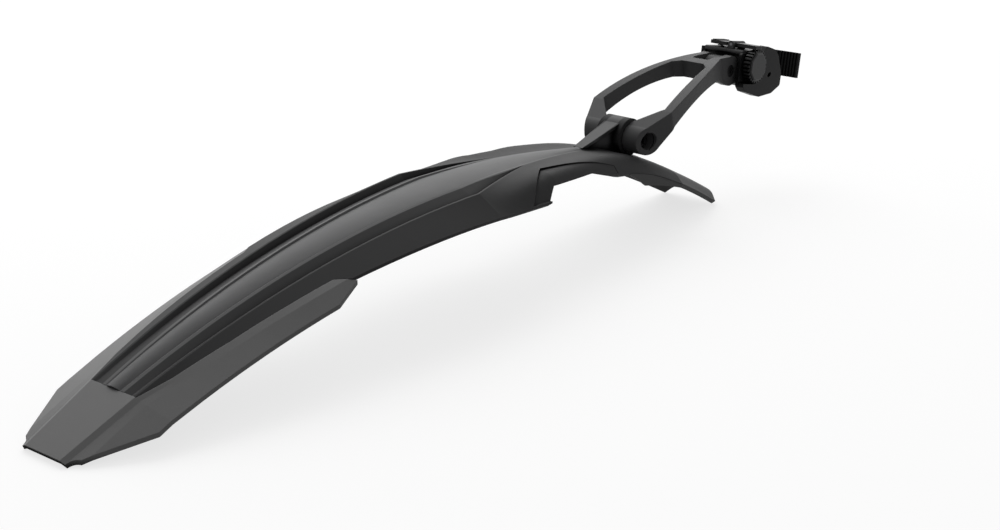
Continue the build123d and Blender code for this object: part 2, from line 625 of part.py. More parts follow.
def clamp_head():
    low, high = HEAD_LOW, HEAD_TOP
    shelf = HEAD_BACK - SHELF_OUT
    outline = FilletPolyline((HEAD_BACK, low + HEAD_SLANT_RISE), (HEAD_BACK + HEAD_SLANT, low),
                             (HEAD_FRONT, low), (HEAD_FRONT, high), (shelf, high),
                             (shelf, high - SHELF_THICK), (HEAD_BACK, high - SHELF_THICK),
                             radius=HEAD_ROUND, close=True)
    head = slab(make_face(outline), NEAR_WALL, FAR_WALL)
    neck = Pos(HEAD_BACK / 2 + HEAD_ROUND, 0) * Rectangle(HEAD_BACK + 2 * HEAD_ROUND, 2 * LUG_R)
    head += slab(Circle(LUG_R) + neck, -LUG_HALF, LUG_HALF)
    head -= Pos(POST_AT, 0, 0) * Cylinder(SADDLE_R, 4 * POST_R)
    head -= rod(SMALL_BOLT_R + RUN_FIT, -4 * POST_R, 4 * POST_R)
    head -= rod(SMALL_BOLT_R + RUN_FIT, -4 * POST_R, 4 * POST_R, DIAL_AT, CLAMP_MID)
    stem = Rectangle(2 * EAR_R, PIN_HEIGHT - HEAD_TOP + HEAD_ROUND, align=(Align.CENTER, Align.MAX))
    ear = extrude(Plane.YZ * (stem + Circle(EAR_R)), EAR_THICK / 2, both=True)
    for hand in (-1, 1):
        head += Pos(DIAL_AT + hand * EAR_MID, LEVER_PIN_AT, PIN_HEIGHT) * ear
    head -= pin_solid(RUN_FIT)
    pocket = Cylinder(SPRING_R + SPRING_WIRE + SIDE_GAP, 2 * SPRING_POCKET)
    return head - Pos(DIAL_AT, SPRING_AT, HEAD_TOP) * pocket


def pin_solid(more):
    pin = Cylinder(LEVER_PIN_R + more, 2 * EAR_MID + EAR_THICK, rotation=(0, 90, 0))
    return Pos(DIAL_AT, LEVER_PIN_AT, PIN_HEIGHT) * pin


def saddle_pad():
    pad = sector((POST_AT, 0), POST_R, SADDLE_R, 180 - PAD_HALF_ANGLE, 180 + PAD_HALF_ANGLE)
    return Pos(0, 0, HEAD_LOW) * extrude(pad, HEAD_TOP - HEAD_LOW)


def clamp_strap():
    half = STRAP_THICK / 2
    run = POST_AT - STRAP_ROOT
    turned = 90 - STRAP_HUG
    shift = HUG_R - STRAP_OPEN_R
    mid = (POST_AT + shift * cos(radians(turned)), shift * sin(radians(turned)))
    plan = Pos(STRAP_ROOT + run / 2, HUG_R) * Rectangle(run, STRAP_THICK)
    plan += sector((POST_AT, 0), HUG_R - half, HUG_R + half, 90, turned)
    plan += sector(mid, STRAP_OPEN_R - half, STRAP_OPEN_R + half, turned, turned - STRAP_OPEN)
    count = int(radians(STRAP_OPEN) * STRAP_OPEN_R / RIB_PITCH)
    step = degrees(RIB_PITCH / STRAP_OPEN_R)
    for i in range(count):
        angle = turned - STRAP_OPEN + (i + 0.75) * step
        groove = Pos(STRAP_OPEN_R - half, 0) * Rectangle(2 * RIB_DEPTH, RIB_PITCH / 2)
        plan -= Pos(*mid) * Rot(0, 0, angle) * groove
    strap = Pos(0, 0, CLAMP_MID - STRAP_HEIGHT / 2) * extrude(plan, STRAP_HEIGHT)
    return strap - rod(SMALL_BOLT_R + RUN_FIT, 0, 2 * HUG_R, DIAL_AT, CLAMP_MID)


def strap_washer():
    face = HUG_R + STRAP_THICK / 2
    washer = rod(WASHER_R, face, face + WASHER_THICK, DIAL_AT, CLAMP_MID)
    return washer - rod(SMALL_BOLT_R + RUN_FIT, face, face + WASHER_THICK, DIAL_AT, CLAMP_MID)


def strap_bolt():
    seat = HUG_R + STRAP_THICK / 2 + WASHER_THICK
    bolt = socket_bolt(SMALL_BOLT_R, SMALL_HEAD_R, SMALL_HEAD, seat - DIAL_FACE - TOOTH_DEPTH,
                       SMALL_KEY)
    return Pos(DIAL_AT, seat, CLAMP_MID) * Rot(0, 0, 180) * bolt


def cover_plate():
    """Outer jaw: a rounded cover with a pocket for the dial and the channel that takes the strap's end."""
    outline = FilletPolyline(*COVER_OUTLINE, radius=COVER_ROUND, close=True)
    cover = slab(make_face(outline), COVER_FACE, NEAR_WALL)
    slot = STRAP_HEIGHT / 2 + SIDE_GAP
    start = DIAL_AT + DIAL_R + COVER_ROUND
    cover -= slab(Pos((start + 2 * POST_AT) / 2, CLAMP_MID) * Rectangle(2 * POST_AT - start, 2 * slot),
                  NEAR_WALL - CHANNEL, NEAR_WALL)
    cover -= Pos(POST_AT, 0, 0) * Cylinder(POST_R + SIDE_GAP, 4 * POST_R)
    cover -= rod(SMALL_BOLT_R + RUN_FIT, COVER_FACE, NEAR_WALL, DIAL_AT, CLAMP_MID)
    room = DIAL_R + 2 * SIDE_GAP
    pocket = Circle(room) + Pos(-room, 0) * Rectangle(2 * room, 2 * room)
    cover -= Pos(DIAL_AT, 0, CLAMP_MID) * slab(pocket, COVER_FACE, DIAL_FLOOR)
    window = Pos(WINDOW_AT, WINDOW_HEIGHT) * Rot(0, 0, WINDOW_TURN) * Ellipse(WINDOW_R, WINDOW_SMALL_R)
    return cover - slab(window, COVER_FACE, NEAR_WALL)


def dial_washer():
    washer = rod(WASHER_R, DIAL_FLOOR - WASHER_THIN, DIAL_FLOOR, DIAL_AT, CLAMP_MID)
    return washer - rod(SMALL_BOLT_R + RUN_FIT, DIAL_FLOOR - WASHER_THIN, DIAL_FLOOR, DIAL_AT, CLAMP_MID)


def tension_dial():
    """Thumb wheel with square teeth round its rim."""
    root = DIAL_R - TOOTH_DEPTH
    pitch = 2 * pi * DIAL_R / DIAL_TEETH
    teeth = PolarLocations(root, DIAL_TEETH) * Rectangle(2 * TOOTH_DEPTH, pitch / 2)
    wheel = (Circle(root) + teeth) - Circle(INSERT_R)
    return Pos(DIAL_AT, 0, CLAMP_MID) * slab(wheel, DIAL_FACE, DIAL_BACK)


def dial_insert():
    insert = rod(INSERT_R, DIAL_FACE, DIAL_BACK, DIAL_AT, CLAMP_MID)
    return insert - rod(SMALL_BOLT_R + RUN_FIT, DIAL_FACE, DIAL_BACK, DIAL_AT, CLAMP_MID)


def dial_cap():
    octagon = Rot(0, 0, 180 / CAP_SIDES) * RegularPolygon(CAP_R, CAP_SIDES)
    cap = Pos(DIAL_AT, 0, CLAMP_MID) * slab(octagon, DIAL_FACE - CAP_THICK, DIAL_FACE)
    outer = cap.faces().sort_by(Axis.Y)[0]
    return chamfer(outer.edges(), CAP_THICK / 2)


def lock_lever():
    """See-saw catch: a nose over the wheel's teeth, a barrel on the pin and a ridged thumb end."""
    def plate(half, near, far):
        leaf = Pos(DIAL_AT, (near + far) / 2, PIN_HEIGHT) * Box(2 * half, far - near, LEVER_THICK)
        return fillet(leaf.edges().filter_by(Axis.Z), LEVER_HALF / 3)

    thumb = plate(THUMB_HALF, LEVER_PIN_AT + EAR_R + 2 * SIDE_GAP, THUMB_AT)
    barrel = Cylinder(EAR_R, 2 * LEVER_HALF, rotation=(0, 90, 0))
    lever = plate(LEVER_HALF, DIAL_FACE + TOOTH_DEPTH, THUMB_AT) + thumb
    lever += Pos(DIAL_AT, LEVER_PIN_AT, PIN_HEIGHT) * barrel
    ridge = Box(2 * THUMB_HALF - LEVER_THICK, RIDGE_WIDTH, 2 * RIDGE_HEIGHT)
    for i in range(THUMB_RIDGES):
        lever += Pos(DIAL_AT, THUMB_AT - 2 * RIDGE_WIDTH * (i + 1), LEVER_LOW + LEVER_THICK) * ridge
    return lever - pin_solid(RUN_FIT)


def lock_spring():
    """Coil under the thumb end of the lever."""
    foot = HEAD_TOP - SPRING_POCKET
    height = LEVER_LOW - foot - 2 * SPRING_WIRE
    coil = Helix(height / SPRING_TURNS, height, SPRING_R)
    wire = Plane(coil @ 0, z_dir=coil % 0) * Circle(SPRING_WIRE)
    spring = sweep(wire, coil, is_frenet=True)
    return Pos(DIAL_AT, SPRING_AT, foot + SPRING_WIRE) * spring


# Assembly

def assemble():
    """Every piece by name, placed with the crown of the arch at the origin."""
    lower = knuckle_place()
    lift = radians(ARM_ANGLE)
    upper = lower + Vector(ARM_LENGTH * cos(lift), 0, ARM_LENGTH * sin(lift))
    on_arm = Location((lower.X, 0, lower.Z), (0, -ARM_ANGLE, 0))
    on_clamp = Location((upper.X, 0, upper.Z), (0, HEAD_TILT, 0))
    shell = blade_shell()
    pieces = {"blade_shell": shell, "tail_flap": tail_flap(), "front_flap": front_flap(shell)}
    for make in (support_arm, lower_pivot_bolt, lower_pivot_nut, upper_pivot_bolt, upper_pivot_nut):
        pieces[make.__name__] = on_arm * make()
    for make in (clamp_head, saddle_pad, clamp_strap, strap_bolt, strap_washer, cover_plate, dial_washer,
                 tension_dial, dial_insert, dial_cap, lock_lever, lock_spring):
        pieces[make.__name__] = on_clamp * make()
    pieces["lock_lever_pin"] = on_clamp * pin_solid(0.0)
    places = {"lower_pivot": lower, "upper_pivot": upper,
              "dial_axis": (on_clamp * Pos(DIAL_AT, DIAL_BACK, CLAMP_MID)).position,
              "lever_pin": (on_clamp * Pos(DIAL_AT, LEVER_PIN_AT, PIN_HEIGHT)).position,
              "post_axis": (on_clamp * Pos(POST_AT, 0, (HEAD_LOW + HEAD_TOP) / 2)).position,
              "spring_foot": (on_clamp * Pos(DIAL_AT, SPRING_AT, HEAD_TOP - SPRING_POCKET)).position}
    return pieces, places


def main():
    pieces, places = assemble()
    box = Compound(children=[Compound(piece.wrapped) for piece in pieces.values()]).bounding_box()
    shift = Vector(-(box.min.X + box.max.X) / 2, -(box.min.Y + box.max.Y) / 2, -box.min.Z)
    os.makedirs("parts", exist_ok=True)
    for name, piece in pieces.items():
        export_step(Pos(*shift) * piece, f"parts/{name}.step")
    for name, spot in places.items():
        moved = spot + shift
        print(f"{name}: {moved.X:.3f} {moved.Y:.3f} {moved.Z:.3f}")
    print(f"crown: {shift.X:.3f} {shift.Y:.3f} {shift.Z:.3f}")


if __name__ == "__main__":
    main()
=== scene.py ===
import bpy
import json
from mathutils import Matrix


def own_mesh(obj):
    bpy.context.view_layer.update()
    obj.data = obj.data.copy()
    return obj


bl_info = {
    "name": "Seatpost Mudguard",
    "version": (1, 0, 0),
    "blender": (4, 5, 0),
    "location": "View3D > Sidebar > Mudguard",
    "description": "Finishes a seatpost mudguard: moulded blade and flaps, looped arm and strap clamp",
    "category": "Object",
}

import json
from math import cos, radians, sin

import bmesh
import bpy
from bpy.props import FloatProperty, FloatVectorProperty, PointerProperty
from mathutils import Vector

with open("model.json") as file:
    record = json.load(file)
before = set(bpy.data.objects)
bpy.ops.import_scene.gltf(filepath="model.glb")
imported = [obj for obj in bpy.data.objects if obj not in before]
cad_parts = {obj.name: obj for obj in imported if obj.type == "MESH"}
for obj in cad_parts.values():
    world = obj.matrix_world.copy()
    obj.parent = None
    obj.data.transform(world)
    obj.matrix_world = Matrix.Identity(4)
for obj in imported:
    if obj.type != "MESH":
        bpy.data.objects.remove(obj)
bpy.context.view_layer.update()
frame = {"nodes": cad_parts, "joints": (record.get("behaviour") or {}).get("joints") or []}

MM = 0.001
WHITE = (1.0, 1.0, 1.0, 1.0)

# Rounding and smoothing of the small pieces
WELD_REACH = 0.01 * MM
FLAT_ANGLE = radians(0.4)
EDGE_SEGMENTS = 2
EVEN_WEIGHT = 70
SMOOTH_ANGLE = radians(28.0)
SMOOTH_GROUP = "Smooth below an angle"

# Edge of the blade's top panel, whose lighter colour is painted light: places along the blade and
# half-widths, in millimetres
PANEL_EDGE = ((-285.7, 8.3), (-42.9, 17.4), (21.1, 12.0), (88.7, 4.6), (180.0, 4.6))
PANEL_BLEND = 0.3 * MM

# Shares of open sky at which a crease is shut and open, and the tone of the painted shade left in a shut one
CREASE_SHUT, CREASE_OPEN, PAINTED_CREASE_SHADE_TONE = 0.62, 0.96, 0.25

# Rays by which a shader looks for creases and for edges to round
SEARCH_RAYS = 8

# Broad changes of tone and roughness in the plastics and the rubbers
MOTTLE_SCALE = 22.0
PLASTIC_MOTTLE, RUBBER_MOTTLE = 0.12, 0.2
ROUGHNESS_SWING = 0.04

# Roughness of the rubbers, and of the flaps and the cap against the clamp's plastic
RUBBER_ROUGHNESS = 0.72
FLAP_ROUGHER, CAP_SMOOTHER = 0.06, 0.06

# Marks on the metals: their size, depth, tones, swing of roughness and the axis they are drawn out along
MARK_SCALE, MARK_DEPTH = 900.0, 0.01 * MM
MARK_DARK, MARK_LIGHT, MARK_SWING = 0.85, 1.1, 0.08
ALONG_X, ALONG_Y = (0.1, 1.0, 1.0), (1.0, 0.1, 1.0)
BLACK_ROUGHNESS, BRASS_ROUGHNESS, BRIGHT_ROUGHNESS = 0.42, 0.35, 0.3

# Floor's finish, and the camera's frame width in millimetres and nearest distance in metres
FLOOR_ROUGHNESS = 0.9
FRAME_WIDTH, NEAREST = 36.0, 0.05


def joint_place(name):
    """Place of a joint's axis at rest."""
    joint = next(joint for joint in frame["joints"] if joint["name"] == name)
    return Vector(joint["pos_m"])


LOWER_PIVOT = joint_place("blade_tilt")


# Sizes and colours that a user would change

def colour_property(name, description, default):
    return FloatVectorProperty(name=name, description=description, default=default, subtype="COLOR",
                               size=3, min=0.0, max=1.0)


def length_property(name, description, default):
    return FloatProperty(name=name, description=description, default=default, unit="LENGTH", min=0.0)


def share_property(name, description, default):
    return FloatProperty(name=name, description=description, default=default, subtype="FACTOR",
                         min=0.0, max=1.0)


def strength_property(name, description, default, unit="NONE"):
    return FloatProperty(name=name, description=description, default=default, unit=unit, min=0.0)


def angle_property(name, description, default):
    return FloatProperty(name=name, description=description, default=default, subtype="ANGLE")


def place_property(name, description, default):
    return FloatVectorProperty(name=name, description=description, default=default,
                               subtype="TRANSLATION", unit="LENGTH")


class MudguardFinish(bpy.types.PropertyGroup):
    """Colours, gloss, grain and edges of the pieces"""
    blade_colour: colour_property("Blade", "Colour of the blade's moulded plastic", (0.026, 0.026, 0.0265))
    # The panel's lighter colour is painted light on the top of the blade
    painted_light_panel_colour: colour_property("Panel", "Colour of the blade's grained panel", (0.045, 0.045, 0.046))
    tail_colour: colour_property("Tail", "Colour of the softer tail flap", (0.125, 0.125, 0.125))
    nose_colour: colour_property("Nose", "Colour of the softer nose flap", (0.060, 0.060, 0.060))
    arm_colour: colour_property("Arm", "Colour of the arm and the clamp head", (0.055, 0.055, 0.056))
    clamp_colour: colour_property("Clamp", "Colour of the cover, the dial and the lever",
                                  (0.009, 0.009, 0.0095))
    cap_colour: colour_property("Cap", "Colour of the dial's cap", (0.036, 0.036, 0.037))
    strap_colour: colour_property("Strap", "Colour of the rubber strap", (0.016, 0.016, 0.0165))
    pad_colour: colour_property("Pad", "Colour of the saddle pad", (0.008, 0.008, 0.0085))
    brass_colour: colour_property("Brass", "Colour of the dial's threaded insert", (0.56, 0.37, 0.14))
    black_steel_colour: colour_property("Black steel", "Colour of the oxidised fasteners",
                                        (0.035, 0.035, 0.036))
    bright_steel_colour: colour_property("Bright steel", "Colour of the pin and the spring",
                                         (0.10, 0.10, 0.105))
    plastic_roughness: share_property("Plastic roughness", "Roughness of the cover, dial and lever", 0.40)
    matte_roughness: share_property("Matte roughness", "Roughness of the arm, head and blade's flanks", 0.58)
    panel_roughness: share_property("Panel roughness", "Roughness of the blade's grained panel", 0.52)
    panel_gloss: share_property("Panel gloss", "Reflection of the blade's grained panel", 0.17)
    plastic_gloss: share_property("Plastic gloss", "Reflection of the tail, arm, head, dial and lever", 0.16)
    smooth_gloss: share_property("Smooth gloss", "Reflection of the blade's flanks, nose and cover", 0.07)
    rubber_gloss: share_property("Rubber gloss", "Reflection of the strap and the pad", 0.08)
    grain_size: length_property("Grain size", "Size of the moulded grain", 0.7 * MM)
    grain_depth: length_property("Grain depth", "Depth of the moulded grain", 0.03 * MM)
    # Reach of the painted shade that darkens creases
    crease_shade_reach: length_property("Crease reach", "How far out of a crease its dull tone reaches", 6.0 * MM)
    blade_edge: length_property("Blade edge", "Rounding of the blade's and flaps' edges", 0.4 * MM)
    arm_edge: length_property("Arm edge", "Rounding of the arm's and the clamp head's edges", 1.0 * MM)
    clamp_edge: length_property("Clamp edge", "Rounding of the cover's, dial's and lever's edges", 0.4 * MM)
    small_edge: length_property("Small edge", "Rounding of the edges of small pieces", 0.2 * MM)
    smooth_angle: angle_property("Smooth angle", "Edges sharper than this are rounded", SMOOTH_ANGLE)


class MudguardStage(bpy.types.PropertyGroup):
    """Floor, light and camera"""
    floor_colour: colour_property("Floor", "Colour of the pale floor", (0.32, 0.32, 0.32))
    floor_size: length_property("Floor size", "Length of the floor's side", 24.0)
    floor_lift: share_property("Floor lift", "White that the floor adds where it is seen or mirrored", 0.73)
    dome_strength: strength_property("Dome", "Strength of the even light all round", 0.36)
    backdrop_strength: strength_property("Backdrop", "Strength of the white that is seen and mirrored", 1.0)
    key_power: strength_property("Key light", "Power of the soft light above and behind", 75.0, "POWER")
    key_size: length_property("Key size", "Side of the soft light", 3.4)
    key_place: place_property("Key place", "Place of the soft light from the lower pivot", (1.1, 1.6, 1.75))
    camera_place: place_property("Camera place", "Place of the camera from the lower pivot",
                                 (-0.9266, -0.6730, 0.3143))
    camera_heading: angle_property("Heading", "Turn of the view from +X towards +Y", radians(39.88))
    camera_pitch: angle_property("Pitch", "How far the view looks down", radians(19.51))
    camera_lens: strength_property("Lens", "Focal length of the camera in millimetres", 64.8, "CAMERA")


# Node helpers

def feed(tree, target, value):
    """Links an input to a socket, or sets the input's own value."""
    if isinstance(value, bpy.types.NodeSocket):
        tree.links.new(value, target)
    else:
        target.default_value = value


def add_node(tree, kind, **inputs):
    """New shader node, with values or sockets given by input name."""
    node = tree.nodes.new(kind)
    for name, value in inputs.items():
        feed(tree, node.inputs[name.replace("_", " ")], value)
    return node


def new_material(name):
    """Material with only its shader and output, its tree, and the shader itself."""
    material = bpy.data.materials.new(name)
    material.use_nodes = True
    shader = material.node_tree.nodes["Principled BSDF"]
    return material, material.node_tree, shader


def span(tree, share, low, high):
    """A share from 0 to 1 turned into a value from low to high."""
    return add_node(tree, "ShaderNodeMapRange", Value=share, To_Min=low, To_Max=high).outputs["Result"]


def share_of(tree, value, low, high):
    """A value from low to high turned into a share from 0 to 1."""
    return add_node(tree, "ShaderNodeMapRange", Value=value, From_Min=low, From_Max=high).outputs["Result"]


def reckon(tree, operation, *sockets):
    """Result of one sum on one or two sockets."""
    node = tree.nodes.new("ShaderNodeMath")
    node.operation = operation
    for socket, target in zip(sockets, node.inputs):
        tree.links.new(socket, target)
    return node.outputs["Value"]


def toned(colour, share):
    """A colour made darker or lighter, with full alpha."""
    return (*[min(1.0, channel * share) for channel in colour], 1.0)


def mix_colours(tree, share, first, second):
    """Colour from first to second by a share, each of them a colour or a socket."""
    node = tree.nodes.new("ShaderNodeMix")
    node.data_type = "RGBA"
    feed(tree, node.inputs["Factor"], share)
    feed(tree, node.inputs["A"], first)
    feed(tree, node.inputs["B"], second)
    return node.outputs["Result"]


# Materials

def panel_zone(tree, place):
    """1 on the blade's top panel between the grooves, and 0 on its flanks; the panel has its own roughness
    and gloss, and a lighter colour that is painted light.
    """
    axes = add_node(tree, "ShaderNodeSeparateXYZ", Vector=place)
    first, last = PANEL_EDGE[0][0], PANEL_EDGE[-1][0]
    widest = max(half for spot, half in PANEL_EDGE)
    along = share_of(tree, axes.outputs["X"], first * MM, last * MM)
    edge = add_node(tree, "ShaderNodeFloatCurve", Value=along)
    curve = edge.mapping.curves[0]
    for number, (spot, half) in enumerate(PANEL_EDGE):
        share = (spot - first) / (last - first)
        if 0 < number < len(PANEL_EDGE) - 1:
            point = curve.points.new(share, half / widest)
        else:
            point = curve.points[0 if number == 0 else -1]
            point.location = (share, half / widest)
        point.handle_type = "VECTOR"
    edge.mapping.update()
    half = span(tree, edge.outputs["Value"], 0.0, widest * MM)
    inside = reckon(tree, "SUBTRACT", half, reckon(tree, "ABSOLUTE", axes.outputs["Y"]))
    return share_of(tree, inside, -PANEL_BLEND, PANEL_BLEND)


def painted_crease_openness(tree, finish, own_only):
    """1 on open faces, falling towards 0 deep in a crease, where painted shade darkens the plastic's colour
    and takes away its reflection.
    """
    nook = add_node(tree, "ShaderNodeAmbientOcclusion", Distance=finish.crease_shade_reach)
    nook.samples = SEARCH_RAYS
    nook.only_local = own_only
    return share_of(tree, nook.outputs["AO"], CREASE_SHUT, CREASE_OPEN)


def moulded_plastic(name, colour, roughness, gloss, finish, mottle=PLASTIC_MOTTLE, panelled=False,
                    own_only=True, edge=0.0):
    """Moulded plastic: fine spark-eroded grain, broad faint changes of tone, and painted shade in creases.
    """
    material, tree, shader = new_material(name)
    place = add_node(tree, "ShaderNodeTexCoord").outputs["Object"]
    # clear is 1 in the open and 0 deep in a crease, and drives the painted shade below
    clear = painted_crease_openness(tree, finish, own_only)
    broad = add_node(tree, "ShaderNodeTexNoise", Vector=place, Scale=MOTTLE_SCALE,
                     Detail=3.0).outputs["Fac"]
    fine = add_node(tree, "ShaderNodeTexNoise", Vector=place, Scale=1 / finish.grain_size, Detail=2.0,
                    Roughness=0.6).outputs["Fac"]
    tone = mix_colours(tree, broad, toned(colour, 1 - mottle), toned(colour, 1 + mottle))
    dull = span(tree, broad, roughness - ROUGHNESS_SWING, roughness + ROUGHNESS_SWING)
    if panelled:
        zone = panel_zone(tree, place)
        # Painted light: the top panel takes a lighter colour; its roughness and gloss also differ
        tone = mix_colours(tree, zone, tone, (*finish.painted_light_panel_colour, 1.0))
        dull = reckon(tree, "ADD", dull, span(tree, zone, 0.0, finish.panel_roughness - roughness))
        level = reckon(tree, "MULTIPLY", span(tree, zone, gloss, finish.panel_gloss), clear)
    else:
        level = span(tree, clear, 0.0, gloss)
    # Painted shade in creases: a darker base colour here, and the reflection level above falls to nothing
    # with it
    shade = mix_colours(tree, clear, toned(colour, PAINTED_CREASE_SHADE_TONE), tone)
    bump = add_node(tree, "ShaderNodeBump", Height=fine, Distance=finish.grain_depth, Strength=1.0)
    if edge:
        rounded = add_node(tree, "ShaderNodeBevel", Radius=edge)
        rounded.samples = SEARCH_RAYS
        tree.links.new(rounded.outputs["Normal"], bump.inputs["Normal"])
    tree.links.new(shade, shader.inputs["Base Color"])
    tree.links.new(dull, shader.inputs["Roughness"])
    tree.links.new(level, shader.inputs["Specular IOR Level"])
    tree.links.new(bump.outputs["Normal"], shader.inputs["Normal"])
    return material


def rubber(name, colour, finish):
    """Matte rubber with a dusty sheen of fine pits."""
    return moulded_plastic(name, colour, RUBBER_ROUGHNESS, finish.rubber_gloss, finish, RUBBER_MOTTLE)


def turned_metal(name, colour, roughness, stretch):
    """Metal with fine marks drawn out along one axis."""
    material, tree, shader = new_material(name)
    shader.inputs["Metallic"].default_value = 1.0
    place = add_node(tree, "ShaderNodeTexCoord").outputs["Object"]
    stretched = add_node(tree, "ShaderNodeMapping", Vector=place, Scale=stretch).outputs["Vector"]
    marks = add_node(tree, "ShaderNodeTexNoise", Vector=stretched, Scale=MARK_SCALE,
                     Detail=3.0).outputs["Fac"]
    tone = mix_colours(tree, marks, toned(colour, MARK_DARK), toned(colour, MARK_LIGHT))
    dull = span(tree, marks, roughness - MARK_SWING, roughness + MARK_SWING)
    bump = add_node(tree, "ShaderNodeBump", Height=marks, Distance=MARK_DEPTH, Strength=0.6)
    tree.links.new(tone, shader.inputs["Base Color"])
    tree.links.new(dull, shader.inputs["Roughness"])
    tree.links.new(bump.outputs["Normal"], shader.inputs["Normal"])
    return material


# Dressing of the modelled nodes

def smooth_group():
    """Geometry nodes that shade faces smooth, except across edges that stay sharp after the rounding."""
    group = bpy.data.node_groups.get(SMOOTH_GROUP)
    if group:
        return group
    group = bpy.data.node_groups.new(SMOOTH_GROUP, "GeometryNodeTree")
    group.is_modifier = True
    group.interface.new_socket("Geometry", in_out="INPUT", socket_type="NodeSocketGeometry")
    angle = group.interface.new_socket("Angle", in_out="INPUT", socket_type="NodeSocketFloat")
    angle.default_value = SMOOTH_ANGLE
    group.interface.new_socket("Geometry", in_out="OUTPUT", socket_type="NodeSocketGeometry")
    source = group.nodes.new("NodeGroupInput")
    faces = group.nodes.new("GeometryNodeSetShadeSmooth")
    edges = group.nodes.new("GeometryNodeSetShadeSmooth")
    edges.domain = "EDGE"
    edges.inputs["Shade Smooth"].default_value = False
    turn = group.nodes.new("GeometryNodeInputMeshEdgeAngle")
    sharp = group.nodes.new("FunctionNodeCompare")
    target = group.nodes.new("NodeGroupOutput")
    join = group.links.new
    join(source.outputs["Geometry"], faces.inputs["Geometry"])
    join(faces.outputs["Geometry"], edges.inputs["Geometry"])
    join(turn.outputs["Unsigned Angle"], sharp.inputs["A"])
    join(source.outputs["Angle"], sharp.inputs["B"])
    join(sharp.outputs["Result"], edges.inputs["Selection"])
    join(edges.outputs["Geometry"], target.inputs["Geometry"])
    return group


def round_edges(piece, radius, angle):
    """Merges a node's loose triangles, rounds its edges sharper than an angle and smooths the rest."""
    weld = piece.modifiers.new("Merge", "WELD")
    weld.merge_threshold = WELD_REACH
    flat = piece.modifiers.new("Flat faces", "DECIMATE")
    flat.decimate_type = "DISSOLVE"
    flat.angle_limit = FLAT_ANGLE
    bevel = piece.modifiers.new("Rounded edges", "BEVEL")
    bevel.width = radius
    bevel.segments = EDGE_SEGMENTS
    bevel.limit_method = "ANGLE"
    bevel.angle_limit = angle
    bevel.use_clamp_overlap = True
    bevel.harden_normals = False
    smooth = piece.modifiers.new("Smooth", "NODES")
    smooth.node_group = smooth_group()
    even = piece.modifiers.new("Even shading", "WEIGHTED_NORMAL")
    even.mode = "FACE_AREA"
    even.weight = EVEN_WEIGHT
    even.keep_sharp = True


def dress(node, material, radius=0.0, angle=0.0):
    """Gives a node its finish and, with a radius, rounded edges."""
    piece = frame["nodes"][node]
    piece.data.materials.clear()
    piece.data.materials.append(material)
    if radius:
        round_edges(piece, radius, angle)
    return piece


# Floor, light and camera

def seen_or_mirrored(tree):
    """1 for what the camera sees straight, mirrored or through glass, and 0 for the light on things."""
    path = tree.nodes.new("ShaderNodeLightPath").outputs
    mirrored = reckon(tree, "MAXIMUM", path["Is Glossy Ray"], path["Is Transmission Ray"])
    return reckon(tree, "MAXIMUM", path["Is Camera Ray"], mirrored)


def lay_floor(scene, stage):
    """Pale floor that looks white and still takes the shadow."""
    mesh = bpy.data.meshes.new("floor")
    plan = bmesh.new()
    bmesh.ops.create_grid(plan, x_segments=1, y_segments=1, size=stage.floor_size / 2)
    plan.to_mesh(mesh)
    plan.free()
    floor = bpy.data.objects.new("floor", mesh)
    scene.collection.objects.link(floor)
    material, tree, shader = new_material("Pale floor")
    shader.inputs["Base Color"].default_value = (*stage.floor_colour, 1.0)
    shader.inputs["Roughness"].default_value = FLOOR_ROUGHNESS
    shader.inputs["Specular IOR Level"].default_value = 0.0
    shader.inputs["Emission Color"].default_value = WHITE
    lift = span(tree, seen_or_mirrored(tree), 0.0, stage.floor_lift)
    tree.links.new(lift, shader.inputs["Emission Strength"])
    mesh.materials.append(material)


def light_dome(scene, stage):
    """Even light all round, behind a white backdrop."""
    world = bpy.data.worlds.new("Dome")
    world.use_nodes = True
    tree = world.node_tree
    sky = tree.nodes["Background"]
    sky.inputs["Color"].default_value = WHITE
    strength = span(tree, seen_or_mirrored(tree), stage.dome_strength, stage.backdrop_strength)
    tree.links.new(strength, sky.inputs["Strength"])
    scene.world = world


def hang_key(scene, stage):
    """Large soft light above and behind, turned to the lower pivot."""
    lamp = bpy.data.lights.new("Key", "AREA")
    lamp.energy = stage.key_power
    lamp.size = stage.key_size
    key = bpy.data.objects.new("Key", lamp)
    key.location = LOWER_PIVOT + Vector(stage.key_place)
    key.rotation_mode = "QUATERNION"
    key.rotation_quaternion = (-Vector(stage.key_place)).to_track_quat("-Z", "Y")
    scene.collection.objects.link(key)


def place_camera(scene, stage):
    """Camera at the photograph's place and angle."""
    lens = bpy.data.cameras.new("Camera")
    lens.lens = stage.camera_lens
    lens.sensor_width = FRAME_WIDTH
    lens.clip_start = NEAREST
    camera = bpy.data.objects.new("Camera", lens)
    camera.location = LOWER_PIVOT + Vector(stage.camera_place)
    heading, pitch = stage.camera_heading, stage.camera_pitch
    look = Vector((cos(heading) * cos(pitch), sin(heading) * cos(pitch), -sin(pitch)))
    camera.rotation_mode = "QUATERNION"
    camera.rotation_quaternion = look.to_track_quat("-Z", "Y")
    scene.collection.objects.link(camera)
    scene.camera = camera


# Operators

class MUDGUARD_OT_blade(bpy.types.Operator):
    """Finish the arched blade"""
    bl_idname = "mudguard.blade"
    bl_label = "Blade"

    def execute(self, context):
        finish = context.scene.mudguard_finish
        plastic = moulded_plastic("Blade plastic", finish.blade_colour, finish.matte_roughness,
                                  finish.smooth_gloss, finish, panelled=True, edge=finish.blade_edge)
        dress("blade_shell", plastic)
        return {"FINISHED"}


